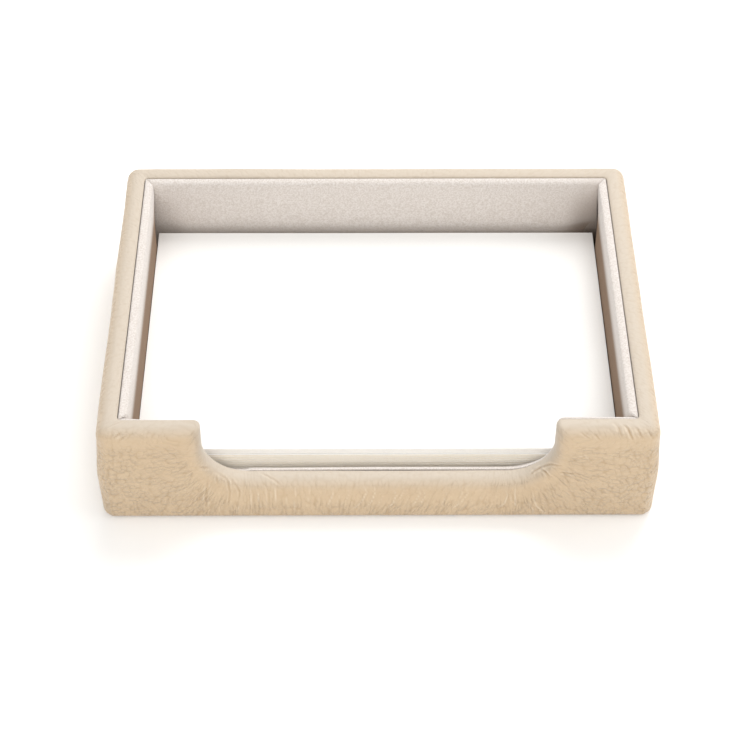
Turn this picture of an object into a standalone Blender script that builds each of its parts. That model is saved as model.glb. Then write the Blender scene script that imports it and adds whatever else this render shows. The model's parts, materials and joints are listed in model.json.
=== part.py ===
"""A leather memo tray: a padded box without a lid, lined with suede, with a thumb notch and memo sheets.

The walls and the floor are board. Thin foam pads the walls' outer faces, and one leather cover wraps it:
it starts inside the well, rolls over the top edge, runs down the outer faces and turns in under the base.
Inside, a panel of card under padded suede covers each wall and the floor.

Units are metres. +X is the tray's right, +Y its back and +Z up. The origin is on the table, under the middle.
"""

from math import cos, pi, sin

import bmesh
import bpy
from mathutils import Vector

MM = 0.001
GAP = 0.3 * MM  # between pieces that are glued, or that rest on each other

# The memo sheets, a standard size of 6 by 4 inches, in two bundles
SHEET_LENGTH = 152.4 * MM
SHEET_WIDTH = 101.6 * MM
LOWER_BUNDLE = 7.7 * MM
UPPER_BUNDLE = 2.1 * MM
BUNDLE_STEP = 0.5 * MM  # how far the lower bundle stands out in front of the upper one

# The well, measured to the line where the leather meets the lining
SIDE_ROOM = 3.8 * MM  # from a sheet's short edge
END_ROOM = 6.05 * MM  # from a sheet's long edge

# The walls
WALL_HEIGHT = 38.4 * MM
LEATHER = 0.9 * MM
BOARD = 2.5 * MM
FOAM = 1.3 * MM  # at the top edge
FOAM_SWELL = 1.3 * MM  # how much thicker it grows lower down
CREST_DEPTH = 3.9 * MM  # from the outer face to the highest line of the top edge
OUTER_ROUND = 4.2 * MM  # height of the top edge's roll on the outside
INNER_ROUND = 2.2 * MM  # and towards the well
CORNER_RADIUS = 4 * MM  # of the leather, seen from above
TURN_IN = 7 * MM  # how far the leather goes down inside the well
TURN_UNDER = 12 * MM  # how far it goes in under the base
FOOT_RADIUS = 1.8 * MM
LEATHER_LIFT = 0.3 * MM  # from the table
BOARD_DROP = 3.2 * MM  # from the top of the leather to the top of the wall boards

# The thumb notch in the front wall
NOTCH_WIDTH = 109 * MM
NOTCH_LIP = 14.6 * MM  # height of the leather under the notch
NOTCH_RADIUS = 14.5 * MM
SHOULDER_RADIUS = 2.5 * MM
NOTCH_FAN = 15 * MM  # how far beyond the shoulder the leather's lines still lean towards the notch

# The base
BASE_BOARD = 2.5 * MM
BOTTOM_PANEL = 1.2 * MM

# The lining
LINING_DROP = 0.8 * MM  # from the top of the leather to the top of the suede
FRONT_LINING_DROP = 2.2 * MM  # the same at the front wall
LINING_CARD = 0.5 * MM
PAD_LIP = 0.8 * MM  # suede folded over the top edge of the card
PAD_DEPTH = 1.5 * MM  # from the leather to the suede at its flattest
PAD_SWELL = 1.75 * MM
FRONT_PAD_SWELL = 0.7 * MM
FLOOR_CARD = 0.8 * MM
FLOOR_PAD = 1.6 * MM
FLOOR_PAD_ROUND = 0.6 * MM

# Along a wall's outer face, from the roll to the foot: where its points lie, and where its swell is full
FACE_SHARES = (0.1, 0.2, 0.32, 0.44, 0.55, 0.78, 1)
SWELL_END_SHARE = 0.55
# Down a wall's padded lining: share of the height, share of the swell
PAD_SHARES = (
    (0, 0.1),
    (0.03, 0.5),
    (0.1, 0.85),
    (0.2, 1),
    (0.32, 0.86),
    (0.45, 0.52),
    (0.58, 0.16),
    (0.72, 0),
    (1, 0),
)

SHARPEST = 0.4 * MM  # least radius of a line that is drawn in from a rounded one
WELD = 0.004 * MM  # points of a cutter this close are one
FLATTEST_EDGE = pi / 5  # a fold sharper than this is drawn as an edge
OVERRUN = 5 * MM  # how far a cutter reaches past what it cuts
ROLL_STEPS = 8
CORNER_STEPS = 5
NOTCH_STEPS = 9
SHOULDER_STEPS = 3
FOOT_STEPS = 3
PAD_ROUND_STEPS = 3

RIM = 2 * LEATHER + BOARD + FOAM + 3 * GAP
HALF_LENGTH = SHEET_LENGTH / 2 + SIDE_ROOM + RIM  # to the outer face of the leather, at the roll
HALF_WIDTH = SHEET_WIDTH / 2 + END_ROOM + RIM

# Depths into a wall, from the outer face of the leather
FOAM_FACE = LEATHER + GAP
BOARD_FACE = FOAM_FACE + FOAM + GAP
BOARD_BACK = BOARD_FACE + BOARD
CARD_FACE = RIM + GAP
CARD_BACK = CARD_FACE + LINING_CARD
PAD_BACK = CARD_BACK + GAP
FLOOR_EDGE = RIM + PAD_DEPTH + GAP

# Heights above the table
FACE_FOOT = LEATHER_LIFT + FOOT_RADIUS
BASE_LOW = LEATHER_LIFT + LEATHER + GAP
BASE_TOP = BASE_LOW + BASE_BOARD
STANDING = BASE_TOP + GAP
FLOOR_PAD_LOW = STANDING + FLOOR_CARD + GAP
SHEETS_LOW = FLOOR_PAD_LOW + FLOOR_PAD + GAP
UPPER_LOW = SHEETS_LOW + LOWER_BUNDLE + GAP

# Colour, roughness
LEATHER_FINISH = ((0.644, 0.484, 0.325), 0.55)
SUEDE_FINISH = ((0.68, 0.62, 0.57), 0.95)
BOARD_FINISH = ((0.32, 0.29, 0.25), 0.9)
CARD_FINISH = ((0.75, 0.73, 0.68), 0.85)
FOAM_FINISH = ((0.86, 0.84, 0.78), 0.95)
PAPER_FINISH = ((0.93, 0.93, 0.92), 0.8)


def collection_named(name):
    found = bpy.data.collections.new(name)
    bpy.context.scene.collection.children.link(found)
    return found


def start_scene():
    """Empties the scene and makes the collections for the tray's pieces and for the cutters."""
    for left in list(bpy.data.objects):
        bpy.data.objects.remove(left, do_unlink=True)
    return collection_named("memo_tray"), collection_named("cutters")


PIECES, CUTTERS = start_scene()


def add_piece(name, mesh, finish):
    """Puts a mesh in the tray's collection as a named piece with its own material."""
    colour, roughness = finish
    material = bpy.data.materials.new(name)
    material.use_nodes = True
    shader = material.node_tree.nodes["Principled BSDF"]
    shader.inputs["Base Color"].default_value = (*colour, 1)
    shader.inputs["Roughness"].default_value = roughness
    shader.inputs["Metallic"].default_value = 0
    mesh.materials.append(material)
    piece = bpy.data.objects.new(name, mesh)
    PIECES.objects.link(piece)
    return piece


def smooth(mesh):
    mesh.shade_smooth()
    mesh.set_sharp_from_angle(angle=FLATTEST_EDGE)


def slab(name, low, high, finish):
    """A flat rectangular piece between two corners, with its origin in its middle."""
    low, high = Vector(low), Vector(high)
    shape = bmesh.new()
    bmesh.ops.create_cube(shape, size=1)
    bmesh.ops.scale(shape, vec=high - low, verts=shape.verts)
    mesh = bpy.data.meshes.new(name)
    shape.to_mesh(mesh)
    shape.free()
    piece = add_piece(name, mesh, finish)
    piece.location = (low + high) / 2
    return piece


def arc(middle, radius, start, end, steps):
    """Points (x, z) on an arc, both ends included."""
    points = []
    for step in range(steps + 1):
        angle = start + (end - start) * step / steps
        points.append((middle[0] + radius * cos(angle), middle[1] + radius * sin(angle)))
    return points


def half_top_line(drop):
    """Points (x, z) of the front wall's top line, drop below the leather's, from the notch's middle to the right."""
    side, lip, top = NOTCH_WIDTH / 2 + drop, NOTCH_LIP - drop, WALL_HEIGHT - drop
    upright_room = WALL_HEIGHT - NOTCH_LIP - 2 * SHOULDER_RADIUS
    inner = min(NOTCH_RADIUS, upright_room) + drop
    outer = max(SHOULDER_RADIUS - drop, SHARPEST)
    points = [(0, lip)]
    points += arc((side - inner, lip + inner), inner, -pi / 2, 0, NOTCH_STEPS)
    points += arc((side + outer, top - outer), outer, pi, pi / 2, SHOULDER_STEPS)
    return points


def top_line(drop):
    """The same line across the whole notch, from left to right."""
    right = half_top_line(drop)
    left = [(-x, z) for x, z in reversed(right[1:])]
    return left + right


def half_feet():
    """Where the lines from the right half of the top line meet the foot of the wall: a fan under the corner."""
    line = half_top_line(0)
    start, end = line[1][0], min(line[-1][0] + NOTCH_FAN, HALF_LENGTH - CORNER_RADIUS)
    travelled = [0]
    for (x, z), (next_x, next_z) in zip(line[1:], line[2:]):
        travelled.append(travelled[-1] + ((next_x - x) ** 2 + (next_z - z) ** 2) ** 0.5)
    return [0] + [start + (end - start) * way / travelled[-1] for way in travelled]


def feet():
    right = half_feet()
    return [-x for x in reversed(right[1:])] + right


class Corner:
    """A station on a rounded corner of the tray, where the wall has its full height."""

    def __init__(self, side, end, angle):
        self.side, self.end, self.angle = side, end, angle

    def plan(self, depth):
        radius = max(CORNER_RADIUS - max(depth, 0), SHARPEST)
        x = self.side * (HALF_LENGTH - depth - radius) + radius * cos(self.angle)
        y = self.end * (HALF_WIDTH - depth - radius) + radius * sin(self.angle)
        return x, y

    def top(self, depth, drop):
        return Vector((*self.plan(depth), WALL_HEIGHT - drop))

    def foot(self, depth, height):
        return Vector((*self.plan(depth), height))


class Wall(Corner):
    """A station on a straight wall of full height. Its end may be square, or mitred at the well's corner."""

    def __init__(self, across, outwards, towards, cut):
        self.across, self.outwards, self.towards, self.cut = across, outwards, towards, cut

    def plan(self, depth):
        far, long = (HALF_WIDTH, HALF_LENGTH) if self.across else (HALF_LENGTH, HALF_WIDTH)
        inset = depth + GAP if self.cut is None else self.cut
        place = self.outwards * (far - depth), self.towards * (long - inset)
        return (place[1], place[0]) if self.across else place


class Notch:
    """A station on the front wall's top line, from the left shoulder of the notch to the right one."""

    def __init__(self, number):
        self.number = number
        self.foot_x = feet()[number]

    def top(self, depth, drop):
        x, z = top_line(drop)[self.number]
        return Vector((x, depth - HALF_WIDTH, z))

    def foot(self, depth, height):
        return Vector((self.foot_x, depth - HALF_WIDTH, height))


def notch_stations():
    return [Notch(number) for number in range(len(top_line(0)))]


def between(station, depth, drop, height, share):
    """A point on the line from the station's top to its foot, at one depth into the wall."""
    return station.top(depth, drop).lerp(station.foot(depth, height), share)


def swell(share):
    """How full the padding is, as a share of its swell: it starts and ends gently."""
    way = min(share / SWELL_END_SHARE, 1)
    return way * way * (3 - 2 * way)


def roll(station, under):
    """Points over the rounded top edge, from the well outwards, a given depth under the leather's surface."""
    points = []
    for step in range(ROLL_STEPS + 1):
        angle = pi * step / ROLL_STEPS
        inside = 2 * step < ROLL_STEPS
        reach, height = (RIM - CREST_DEPTH, INNER_ROUND) if inside else (CREST_DEPTH, OUTER_ROUND)
        depth = CREST_DEPTH + (reach - under) * cos(angle)
        points.append(station.top(depth, height - (height - under) * sin(angle)))
    return points


def face(station, under):
    """Points down the padded outer face, a given depth under the leather's surface."""
    points = []
    for share in FACE_SHARES:
        depth = under - FOAM_SWELL * swell(share)
        points.append(between(station, depth, OUTER_ROUND, FACE_FOOT, share))
    return points


def leather_line(station):
    """The leather's outer surface at a station: well side, roll, outer face, foot and underside."""
    points = [station.top(RIM, TURN_IN)] + roll(station, 0) + face(station, 0)
    for step in range(1, FOOT_STEPS + 1):
        angle = pi / 2 * step / FOOT_STEPS
        depth = FOOT_RADIUS * (1 - cos(angle)) - FOAM_SWELL
        points.append(station.foot(depth, FACE_FOOT - FOOT_RADIUS * sin(angle)))
    return points + [station.foot(TURN_UNDER, LEATHER_LIFT)]


def foam_section(station):
    """A closed outline round the foam: under the leather, then back up along the wall board."""
    inside = BOARD_FACE - GAP
    back = [
        station.foot(inside, FACE_FOOT),
        station.top(inside, BOARD_DROP - GAP),
        station.top(BOARD_BACK, BOARD_DROP - GAP),
    ]
    return roll(station, FOAM_FACE) + face(station, FOAM_FACE) + back


def pad_section(station, drop, fullest):
    """A closed outline round padded suede: its swelled face, then up behind it and out over the card's edge."""
    outline = [station.top(CARD_FACE, drop)]
    for share, fullness in PAD_SHARES:
        depth = RIM + PAD_DEPTH + fullest * fullness
        outline.append(between(station, depth, drop, STANDING, share))
    outline.append(station.foot(PAD_BACK, STANDING))
    outline.append(station.top(PAD_BACK, drop + PAD_LIP))
    outline.append(station.top(CARD_FACE, drop + PAD_LIP))
    return outline


def skin(lines, closed_lines, ring):
    """A surface through a row of lines with as many points each, as a mesh with its faces turned outwards."""
    shape = bmesh.new()
    rows = [[shape.verts.new(point) for point in line] for line in lines]
    following = rows[1:] + rows[:1] if ring else rows[1:]
    for row, after in zip(rows, following):
        last = len(row) if closed_lines else len(row) - 1
        for number in range(last):
            beside = (number + 1) % len(row)
            shape.faces.new((row[number], row[beside], after[beside], after[number]))
    if closed_lines and not ring:
        shape.faces.new(rows[0])
        shape.faces.new(rows[-1])
        bmesh.ops.recalc_face_normals(shape, faces=shape.faces)
    mesh = bpy.data.meshes.new("skin")
    shape.to_mesh(mesh)
    shape.free()
    smooth(mesh)
    return mesh


def ring_stations():
    """Every station of the leather, anticlockwise from above: three walls' corners, then the front wall."""
    stations = []
    quarter = pi / 2
    for number, (side, end) in enumerate(((1, -1), (1, 1), (-1, 1), (-1, -1))):
        for step in range(CORNER_STEPS + 1):
            stations.append(Corner(side, end, quarter * (number - 1 + step / CORNER_STEPS)))
    return stations + notch_stations()


def leather_cover():
    mesh = skin([leather_line(station) for station in ring_stations()], False, True)
    cover = add_piece("leather_cover", mesh, LEATHER_FINISH)
    thick = cover.modifiers.new("thickness", "SOLIDIFY")
    thick.thickness = LEATHER
    thick.offset = -1
    thick.use_even_offset = True


def notch_cutter(name, drop, near, far):
    """A solid that cuts the notch out of a plate: the top line, closed above the wall, between two depths."""
    above = WALL_HEIGHT + OVERRUN
    line = top_line(drop)
    outline = [(line[0][0], above)] + line + [(line[-1][0], above)]
    curve = bpy.data.curves.new(name, "CURVE")
    curve.dimensions = "2D"
    curve.fill_mode = "BOTH"
    curve.extrude = (far - near) / 2
    spline = curve.splines.new("POLY")
    spline.points.add(len(outline) - 1)
    for point, (x, z) in zip(spline.points, outline):
        point.co = (x, z, 0, 1)
    spline.use_cyclic_u = True
    flat = bpy.data.objects.new(name, curve)
    CUTTERS.objects.link(flat)
    flat.rotation_euler = (pi / 2, 0, 0)
    flat.location = (0, (near + far) / 2 - HALF_WIDTH, 0)
    bpy.context.view_layer.update()
    mesh = bpy.data.meshes.new_from_object(flat.evaluated_get(bpy.context.evaluated_depsgraph_get()))
    shape = bmesh.new()
    shape.from_mesh(mesh)
    bmesh.ops.remove_doubles(shape, verts=shape.verts, dist=WELD)
    bmesh.ops.recalc_face_normals(shape, faces=shape.faces)
    shape.to_mesh(mesh)
    shape.free()
    cutter = bpy.data.objects.new(name, mesh)
    cutter.matrix_world = flat.matrix_world.copy()
    bpy.data.objects.remove(flat)
    CUTTERS.objects.link(cutter)
    cutter.hide_render = True
    cutter.display_type = "WIRE"
    return cutter


def cut_notch(plate, drop, near, far):
    cutter = notch_cutter(plate.name + "_notch", drop, near - OVERRUN, far + OVERRUN)
    cut = plate.modifiers.new("notch", "BOOLEAN")
    cut.operation = "DIFFERENCE"
    cut.object = cutter


def upright(name, wall, near, far, end_inset, top, finish):
    """A plate that stands on the base along one wall, between two depths into it."""
    if wall in ("front", "back"):
        sign = -1 if wall == "front" else 1
        long = HALF_LENGTH - end_inset
        faces = sorted((sign * (HALF_WIDTH - near), sign * (HALF_WIDTH - far)))
        low, high = (-long, faces[0], STANDING), (long, faces[1], top)
    else:
        sign = -1 if wall == "left" else 1
        long = HALF_WIDTH - end_inset
        faces = sorted((sign * (HALF_LENGTH - near), sign * (HALF_LENGTH - far)))
        low, high = (faces[0], -long, STANDING), (faces[1], long, top)
    return slab(name, low, high, finish)


def lining_drop(wall):
    return FRONT_LINING_DROP if wall == "front" else LINING_DROP


def wall_boards():
    """Front and back boards over the whole length, and side boards between them."""
    top = WALL_HEIGHT - BOARD_DROP
    for wall in ("front", "back", "left", "right"):
        end_inset = BOARD_FACE if wall in ("front", "back") else BOARD_BACK + GAP
        board = upright(wall + "_wall_board", wall, BOARD_FACE, BOARD_BACK, end_inset, top, BOARD_FINISH)
        if wall == "front":
            cut_notch(board, BOARD_DROP, BOARD_FACE, BOARD_BACK)


def lining_cards():
    for wall in ("front", "back", "left", "right"):
        drop = lining_drop(wall) + PAD_LIP + GAP
        end_inset = CARD_FACE if wall in ("front", "back") else CARD_BACK + GAP
        top = WALL_HEIGHT - drop
        card = upright(wall + "_lining_card", wall, CARD_FACE, CARD_BACK, end_inset, top, CARD_FINISH)
        if wall == "front":
            cut_notch(card, drop, CARD_FACE, CARD_BACK)


def along(wall, cut):
    """The stations that a piece along one wall is drawn through. Its ends are mitred where cut is None."""
    across = wall in ("front", "back")
    outwards = 1 if wall in ("back", "right") else -1
    ends = [Wall(across, outwards, towards, cut) for towards in (-1, 1)]
    return [ends[0]] + notch_stations() + [ends[1]] if wall == "front" else ends


def outer_foam():
    """Foam over each wall's outer face and top edge. It stops short of the rounded corners."""
    for wall in ("front", "back", "left", "right"):
        cut = CORNER_RADIUS if wall in ("front", "back") else max(CORNER_RADIUS, BOARD_BACK + GAP)
        sections = [foam_section(station) for station in along(wall, cut)]
        add_piece(wall + "_outer_foam", skin(sections, True, False), FOAM_FINISH)


def lining_pads():
    for wall in ("front", "back", "left", "right"):
        drop = lining_drop(wall)
        fullest = FRONT_PAD_SWELL if wall == "front" else PAD_SWELL
        sections = [pad_section(station, drop, fullest) for station in along(wall, None)]
        add_piece(wall + "_lining_pad", skin(sections, True, False), SUEDE_FINISH)


def level(name, edge, low, thickness, finish):
    """A plate that lies flat, at one depth in from the tray's outer faces."""
    half = Vector((HALF_LENGTH - edge, HALF_WIDTH - edge, 0))
    return slab(name, (-half.x, -half.y, low), (half.x, half.y, low + thickness), finish)


def base_and_floor():
    level("base_board", BOARD_FACE, BASE_LOW, BASE_BOARD, BOARD_FINISH)
    level("bottom_panel", TURN_UNDER + GAP, 0, BOTTOM_PANEL, SUEDE_FINISH)
    level("floor_lining_card", FLOOR_EDGE, STANDING, FLOOR_CARD, CARD_FINISH)
    pad = level("floor_lining_pad", FLOOR_EDGE, FLOOR_PAD_LOW, FLOOR_PAD, SUEDE_FINISH)
    rounding = pad.modifiers.new("rounded edges", "BEVEL")
    rounding.width = FLOOR_PAD_ROUND
    rounding.segments = PAD_ROUND_STEPS
    rounding.use_clamp_overlap = True


def memo_sheets():
    """Two bundles, each lying on what is below it. The lower one stands a little forward."""
    long, wide = SHEET_LENGTH / 2, SHEET_WIDTH / 2
    slab(
        "lower_memo_sheets",
        (-long, -wide - BUNDLE_STEP, SHEETS_LOW),
        (long, wide - BUNDLE_STEP, SHEETS_LOW + LOWER_BUNDLE),
        PAPER_FINISH,
    )
    slab(
        "upper_memo_sheets",
        (-long, -wide, UPPER_LOW),
        (long, wide, UPPER_LOW + UPPER_BUNDLE),
        PAPER_FINISH,
    )


base_and_floor()
wall_boards()
outer_foam()
leather_cover()
lining_cards()
lining_pads()
memo_sheets()
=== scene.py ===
# %% [markdown]
# # A memo tray in padded leather
# The tray is a shallow box without a lid. Its walls and base are board, thin foam pads the walls, and one
# piece of pebbled leather is pulled over them from inside the well, round the top edge and in under the base.
# Suede panels line the well, and two bundles of memo sheets lie in it. A low notch in the front wall lets a
# thumb slide a sheet out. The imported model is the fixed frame: every piece here is placed by its sizes.

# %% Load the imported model
import json
from math import ceil, cos, hypot, pi, radians, sin

import bmesh
import bpy
import numpy as np
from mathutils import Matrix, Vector, noise

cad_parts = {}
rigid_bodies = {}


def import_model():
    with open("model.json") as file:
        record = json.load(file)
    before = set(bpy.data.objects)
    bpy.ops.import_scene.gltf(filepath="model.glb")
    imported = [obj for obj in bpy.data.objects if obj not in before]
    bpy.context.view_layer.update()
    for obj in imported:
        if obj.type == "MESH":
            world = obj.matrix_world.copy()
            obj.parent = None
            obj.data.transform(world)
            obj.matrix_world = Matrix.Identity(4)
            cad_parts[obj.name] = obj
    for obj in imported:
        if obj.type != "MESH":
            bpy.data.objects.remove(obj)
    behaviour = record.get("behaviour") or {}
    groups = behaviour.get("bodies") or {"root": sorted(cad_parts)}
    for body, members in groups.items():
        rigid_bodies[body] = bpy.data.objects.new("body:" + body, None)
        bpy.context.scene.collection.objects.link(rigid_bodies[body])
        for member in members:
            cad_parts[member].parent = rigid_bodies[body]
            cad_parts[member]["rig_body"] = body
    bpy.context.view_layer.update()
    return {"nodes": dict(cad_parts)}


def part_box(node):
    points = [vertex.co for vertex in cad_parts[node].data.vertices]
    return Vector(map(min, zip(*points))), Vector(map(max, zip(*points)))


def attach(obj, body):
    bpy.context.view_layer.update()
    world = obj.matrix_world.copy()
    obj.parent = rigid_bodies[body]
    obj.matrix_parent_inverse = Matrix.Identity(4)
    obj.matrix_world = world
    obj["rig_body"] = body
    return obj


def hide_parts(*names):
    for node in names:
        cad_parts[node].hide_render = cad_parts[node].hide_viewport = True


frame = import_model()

# %% [markdown]
# ## Sizes
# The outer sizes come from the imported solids. What they don't tell, such as the height of the roll along the
# top edge, is a named size in metres, with MM for millimetres.

# %% Sizes of the walls and of the notch
MM = 0.001
GAP = 0.3 * MM  # between pieces that are glued together
LEATHER = 0.9 * MM
SWELL = 1.3 * MM  # how far the padding bulges the outer faces
CORNER_RADIUS = 4 * MM
WELL_CORNER = 1.5 * MM  # radius of the leather's corners inside the well
CREST_DEPTH = 3.9 * MM  # from the outer face to the highest line of the top edge
OUTER_ROUND = 4.2 * MM  # height of the top edge's roll on the outside
INNER_ROUND = 0.8 * MM  # and towards the well
TURN_IN = 7 * MM
TURN_UNDER = 12 * MM
FOOT_RADIUS = 1.8 * MM
NOTCH_WIDTH = 109 * MM
NOTCH_LIP = 14.6 * MM
NOTCH_RADIUS = 14.5 * MM
SHOULDER_RADIUS = 1.5 * MM
NOTCH_FAN = 15 * MM

LEATHER_LOW, LEATHER_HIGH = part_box("leather_cover")
WALL_HEIGHT = LEATHER_HIGH.z
HALF_LENGTH = LEATHER_HIGH.x - SWELL
HALF_WIDTH = LEATHER_HIGH.y - SWELL
RIM = HALF_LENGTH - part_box("right_lining_card")[1].x - GAP
FACE_FOOT = LEATHER_LOW.z + FOOT_RADIUS
print("wall:", round(WALL_HEIGHT / MM, 1), "mm high,", round(RIM / MM, 1), "mm thick at the rim")

# %% [markdown]
# ## Small helpers
# A colour is written as people read it on a screen, in sRGB hex, and Blender's shaders want it linear, so
# one function turns it. Another adds a node of any kind with its settings and links.

# %% Helpers for colours and nodes
MATH, VECTOR_MATH, MIX = "ShaderNodeMath", "ShaderNodeVectorMath", "ShaderNodeMixRGB"
RANGE, NOISE, CELLS = "ShaderNodeMapRange", "ShaderNodeTexNoise", "ShaderNodeTexVoronoi"
ATTRIBUTE, BUMP, UPWARDS = "ShaderNodeAttribute", "ShaderNodeBump", "ShaderNodeCombineXYZ"
EASED = "SMOOTHSTEP"  # a Map Range node's gentle way from one end of its range to the other


def linear(hex_colour):
    """An sRGB hex colour as the linear colour, with alpha, that shaders use."""
    values = [int(hex_colour[i : i + 2], 16) / 255 for i in (1, 3, 5)]
    return (*[v / 12.92 if v <= 0.04045 else ((v + 0.055) / 1.055) ** 2.4 for v in values], 1)


def set_inputs(tree, node, inputs):
    """Gives each input, by name or number, a value, an output, or another node's first output."""
    for name, value in inputs.items():
        source = value.outputs[0] if isinstance(value, bpy.types.Node) else value
        if isinstance(source, bpy.types.NodeSocket):
            tree.links.new(source, node.inputs[name])
        else:
            node.inputs[name].default_value = source


def add_node(tree, kind, inputs=None, **settings):
    """Adds a node with its settings, and with values and links for its inputs."""
    node = tree.nodes.new(kind)
    for name, value in settings.items():
        setattr(node, name, value)
    set_inputs(tree, node, inputs or {})
    return node


def new_material(name):
    """A material with its node tree and its Principled shader."""
    material = bpy.data.materials.new(name)
    material.use_nodes = True
    return material, material.node_tree, material.node_tree.nodes["Principled BSDF"]


# %% Helpers for meshes
def grid_faces(rows, columns, ring):
    """Faces of a grid whose columns close into a loop. With ring, the rows close too."""
    row, column = np.meshgrid(np.arange(rows if ring else rows - 1), np.arange(columns), indexing="ij")
    row, column = row.ravel(), column.ravel()
    after, beside = (row + 1) % rows, (column + 1) % columns
    this, following = row * columns, after * columns
    return np.stack([this + column, this + beside, following + beside, following + column], axis=1)


def turned_outwards(mesh):
    """Recalculates the mesh's normals so that its faces point out."""
    shape = bmesh.new()
    shape.from_mesh(mesh)
    bmesh.ops.recalc_face_normals(shape, faces=shape.faces)
    shape.to_mesh(mesh)
    shape.free()


def mesh_from_loops(name, loops, ring):
    """A closed mesh through a row of closed loops. Without ring, its two ends are capped."""
    rows, columns = loops.shape[:2]
    faces = grid_faces(rows, columns, ring).tolist()
    if not ring:
        faces += [list(range(columns)), list(range((rows - 1) * columns, rows * columns))]
    mesh = bpy.data.meshes.new(name)
    mesh.from_pydata(loops.reshape(-1, 3).tolist(), [], faces)
    turned_outwards(mesh)
    mesh.shade_smooth()
    return mesh


def add_piece(name, mesh, material, node):
    """Puts a finished mesh in the scene in place of a CAD node, on that node's body."""
    piece = bpy.data.objects.new(name, mesh)
    bpy.context.scene.collection.objects.link(piece)
    if material:
        mesh.materials.append(material)
    body = frame["nodes"][node]["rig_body"]
    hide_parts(node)
    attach(piece, body)
    return piece


print("helpers ready")

# %% [markdown]
# ## Camera, floor and light
# The camera stands in front of the tray and looks down at 46 degrees. Its place and lens were solved from the
# tray's own corners. The floor is plain white paper. Light comes from three large soft lamps, high behind the
# tray, to its right and in front of it, and from the white room, which the world stands for.

# %% Camera
CAMERA_PLACE = (-4.85 * MM, -457.6 * MM, 474.4 * MM)
CAMERA_TURN = (43.86, -0.174, -0.359)  # degrees about X, Y and Z
FOCAL_PIXELS, PICTURE_PIXELS = 1936.6, 750
SENSOR = 36  # millimetres

camera = bpy.data.objects.new("camera", bpy.data.cameras.new("camera"))
camera.location = CAMERA_PLACE
camera.rotation_euler = [radians(angle) for angle in CAMERA_TURN]
camera.data.sensor_width = SENSOR
camera.data.lens = SENSOR * FOCAL_PIXELS / PICTURE_PIXELS
bpy.context.scene.collection.objects.link(camera)
bpy.context.scene.camera = camera
bpy.context.scene.view_settings.view_transform = "Standard"
print("lens:", round(camera.data.lens, 1), "mm")

# %% Floor
FLOOR_SIDE = 8
FLOOR_GLOW = 0.08  # added for the camera alone, so that the lit floor reads as pure white

floor_material, tree, shader = new_material("white_paper_floor")
set_inputs(tree, shader, {"Base Color": linear("#F8F7F5"), "Roughness": 0.9, "Specular IOR Level": 0.2})
glow = add_node(tree, "ShaderNodeEmission", {"Color": (1, 1, 1, 1), "Strength": FLOOR_GLOW})
ray = add_node(tree, "ShaderNodeLightPath")
nothing = add_node(tree, "ShaderNodeEmission", {"Strength": 0.0})
seen = add_node(tree, "ShaderNodeMixShader", {0: ray.outputs["Is Camera Ray"], 1: nothing, 2: glow})
both = add_node(tree, "ShaderNodeAddShader", {0: shader, 1: seen})
set_inputs(tree, tree.nodes["Material Output"], {"Surface": both})

bpy.ops.mesh.primitive_plane_add(size=FLOOR_SIDE)
floor = bpy.context.object
floor.name = "floor"
floor.data.materials.append(floor_material)

# %% Light
ROOM_LIGHT = 0.6
LAMPS = (  # name, place, side in metres, watts
    ("back_softbox", (0.2, 0.68, 0.9), 0.7, 8.6),
    ("right_softbox", (0.84, -0.06, 0.78), 0.8, 2.6),
    ("front_softbox", (-0.1, -1.0, 0.96), 1.0, 7.1),
)


def add_lamp(name, place, side, watts):
    lamp = bpy.data.lights.new(name, "AREA")
    lamp.shape, lamp.size, lamp.energy = "SQUARE", side, watts
    holder = bpy.data.objects.new(name, lamp)
    holder.location = place
    holder.rotation_euler = Vector(place).to_track_quat("Z", "Y").to_euler()
    bpy.context.scene.collection.objects.link(holder)


for settings in LAMPS:
    add_lamp(*settings)

world = bpy.data.worlds.new("white_room")
bpy.context.scene.world = world
world.use_nodes = True
tree = world.node_tree
background = tree.nodes["Background"]
set_inputs(tree, background, {"Color": (1, 1, 1, 1), "Strength": ROOM_LIGHT})
shown = add_node(tree, "ShaderNodeBackground", {"Color": (1, 1, 1, 1), "Strength": 1.0})
ray = add_node(tree, "ShaderNodeLightPath")
white_for = ray.outputs["Is Camera Ray"]
for kind in ("Is Glossy Ray", "Is Transmission Ray"):
    white_for = add_node(tree, MATH, {0: white_for, 1: ray.outputs[kind]}, operation="MAXIMUM")
mix = add_node(tree, "ShaderNodeMixShader", {0: white_for, 1: background, 2: shown})
set_inputs(tree, tree.nodes["World Output"], {"Surface": mix})
print("lamps:", len(LAMPS))

# %% [markdown]
# ## Materials
# Pebbled cowhide is shrunken grain: rounded cells one to two millimetres across, parted by fine furrows, with
# a soft satin finish, and shade is painted into the furrows as a darker colour. The cells are a Voronoi
# pattern in the hide's own coordinates, which the mesh carries as a UV map, so that they follow the leather
# round every edge. Along the rim the hide is stretched smooth and more matt, and its colour is painted paler
# there for the sheen that light from behind lays on it.

# %% The pattern of the pebbles
PEBBLE = 1.45 * MM
NARROWNESS = 1.25  # pebbles are this much taller than wide
WANDER = 0.9 * MM  # how far the borders between pebbles stray from straight lines
WANDER_LENGTH = 2.2 * MM  # over which length they do
FINE_CELL = 0.7 * MM
CELL_DISORDER = 0.9


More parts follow.
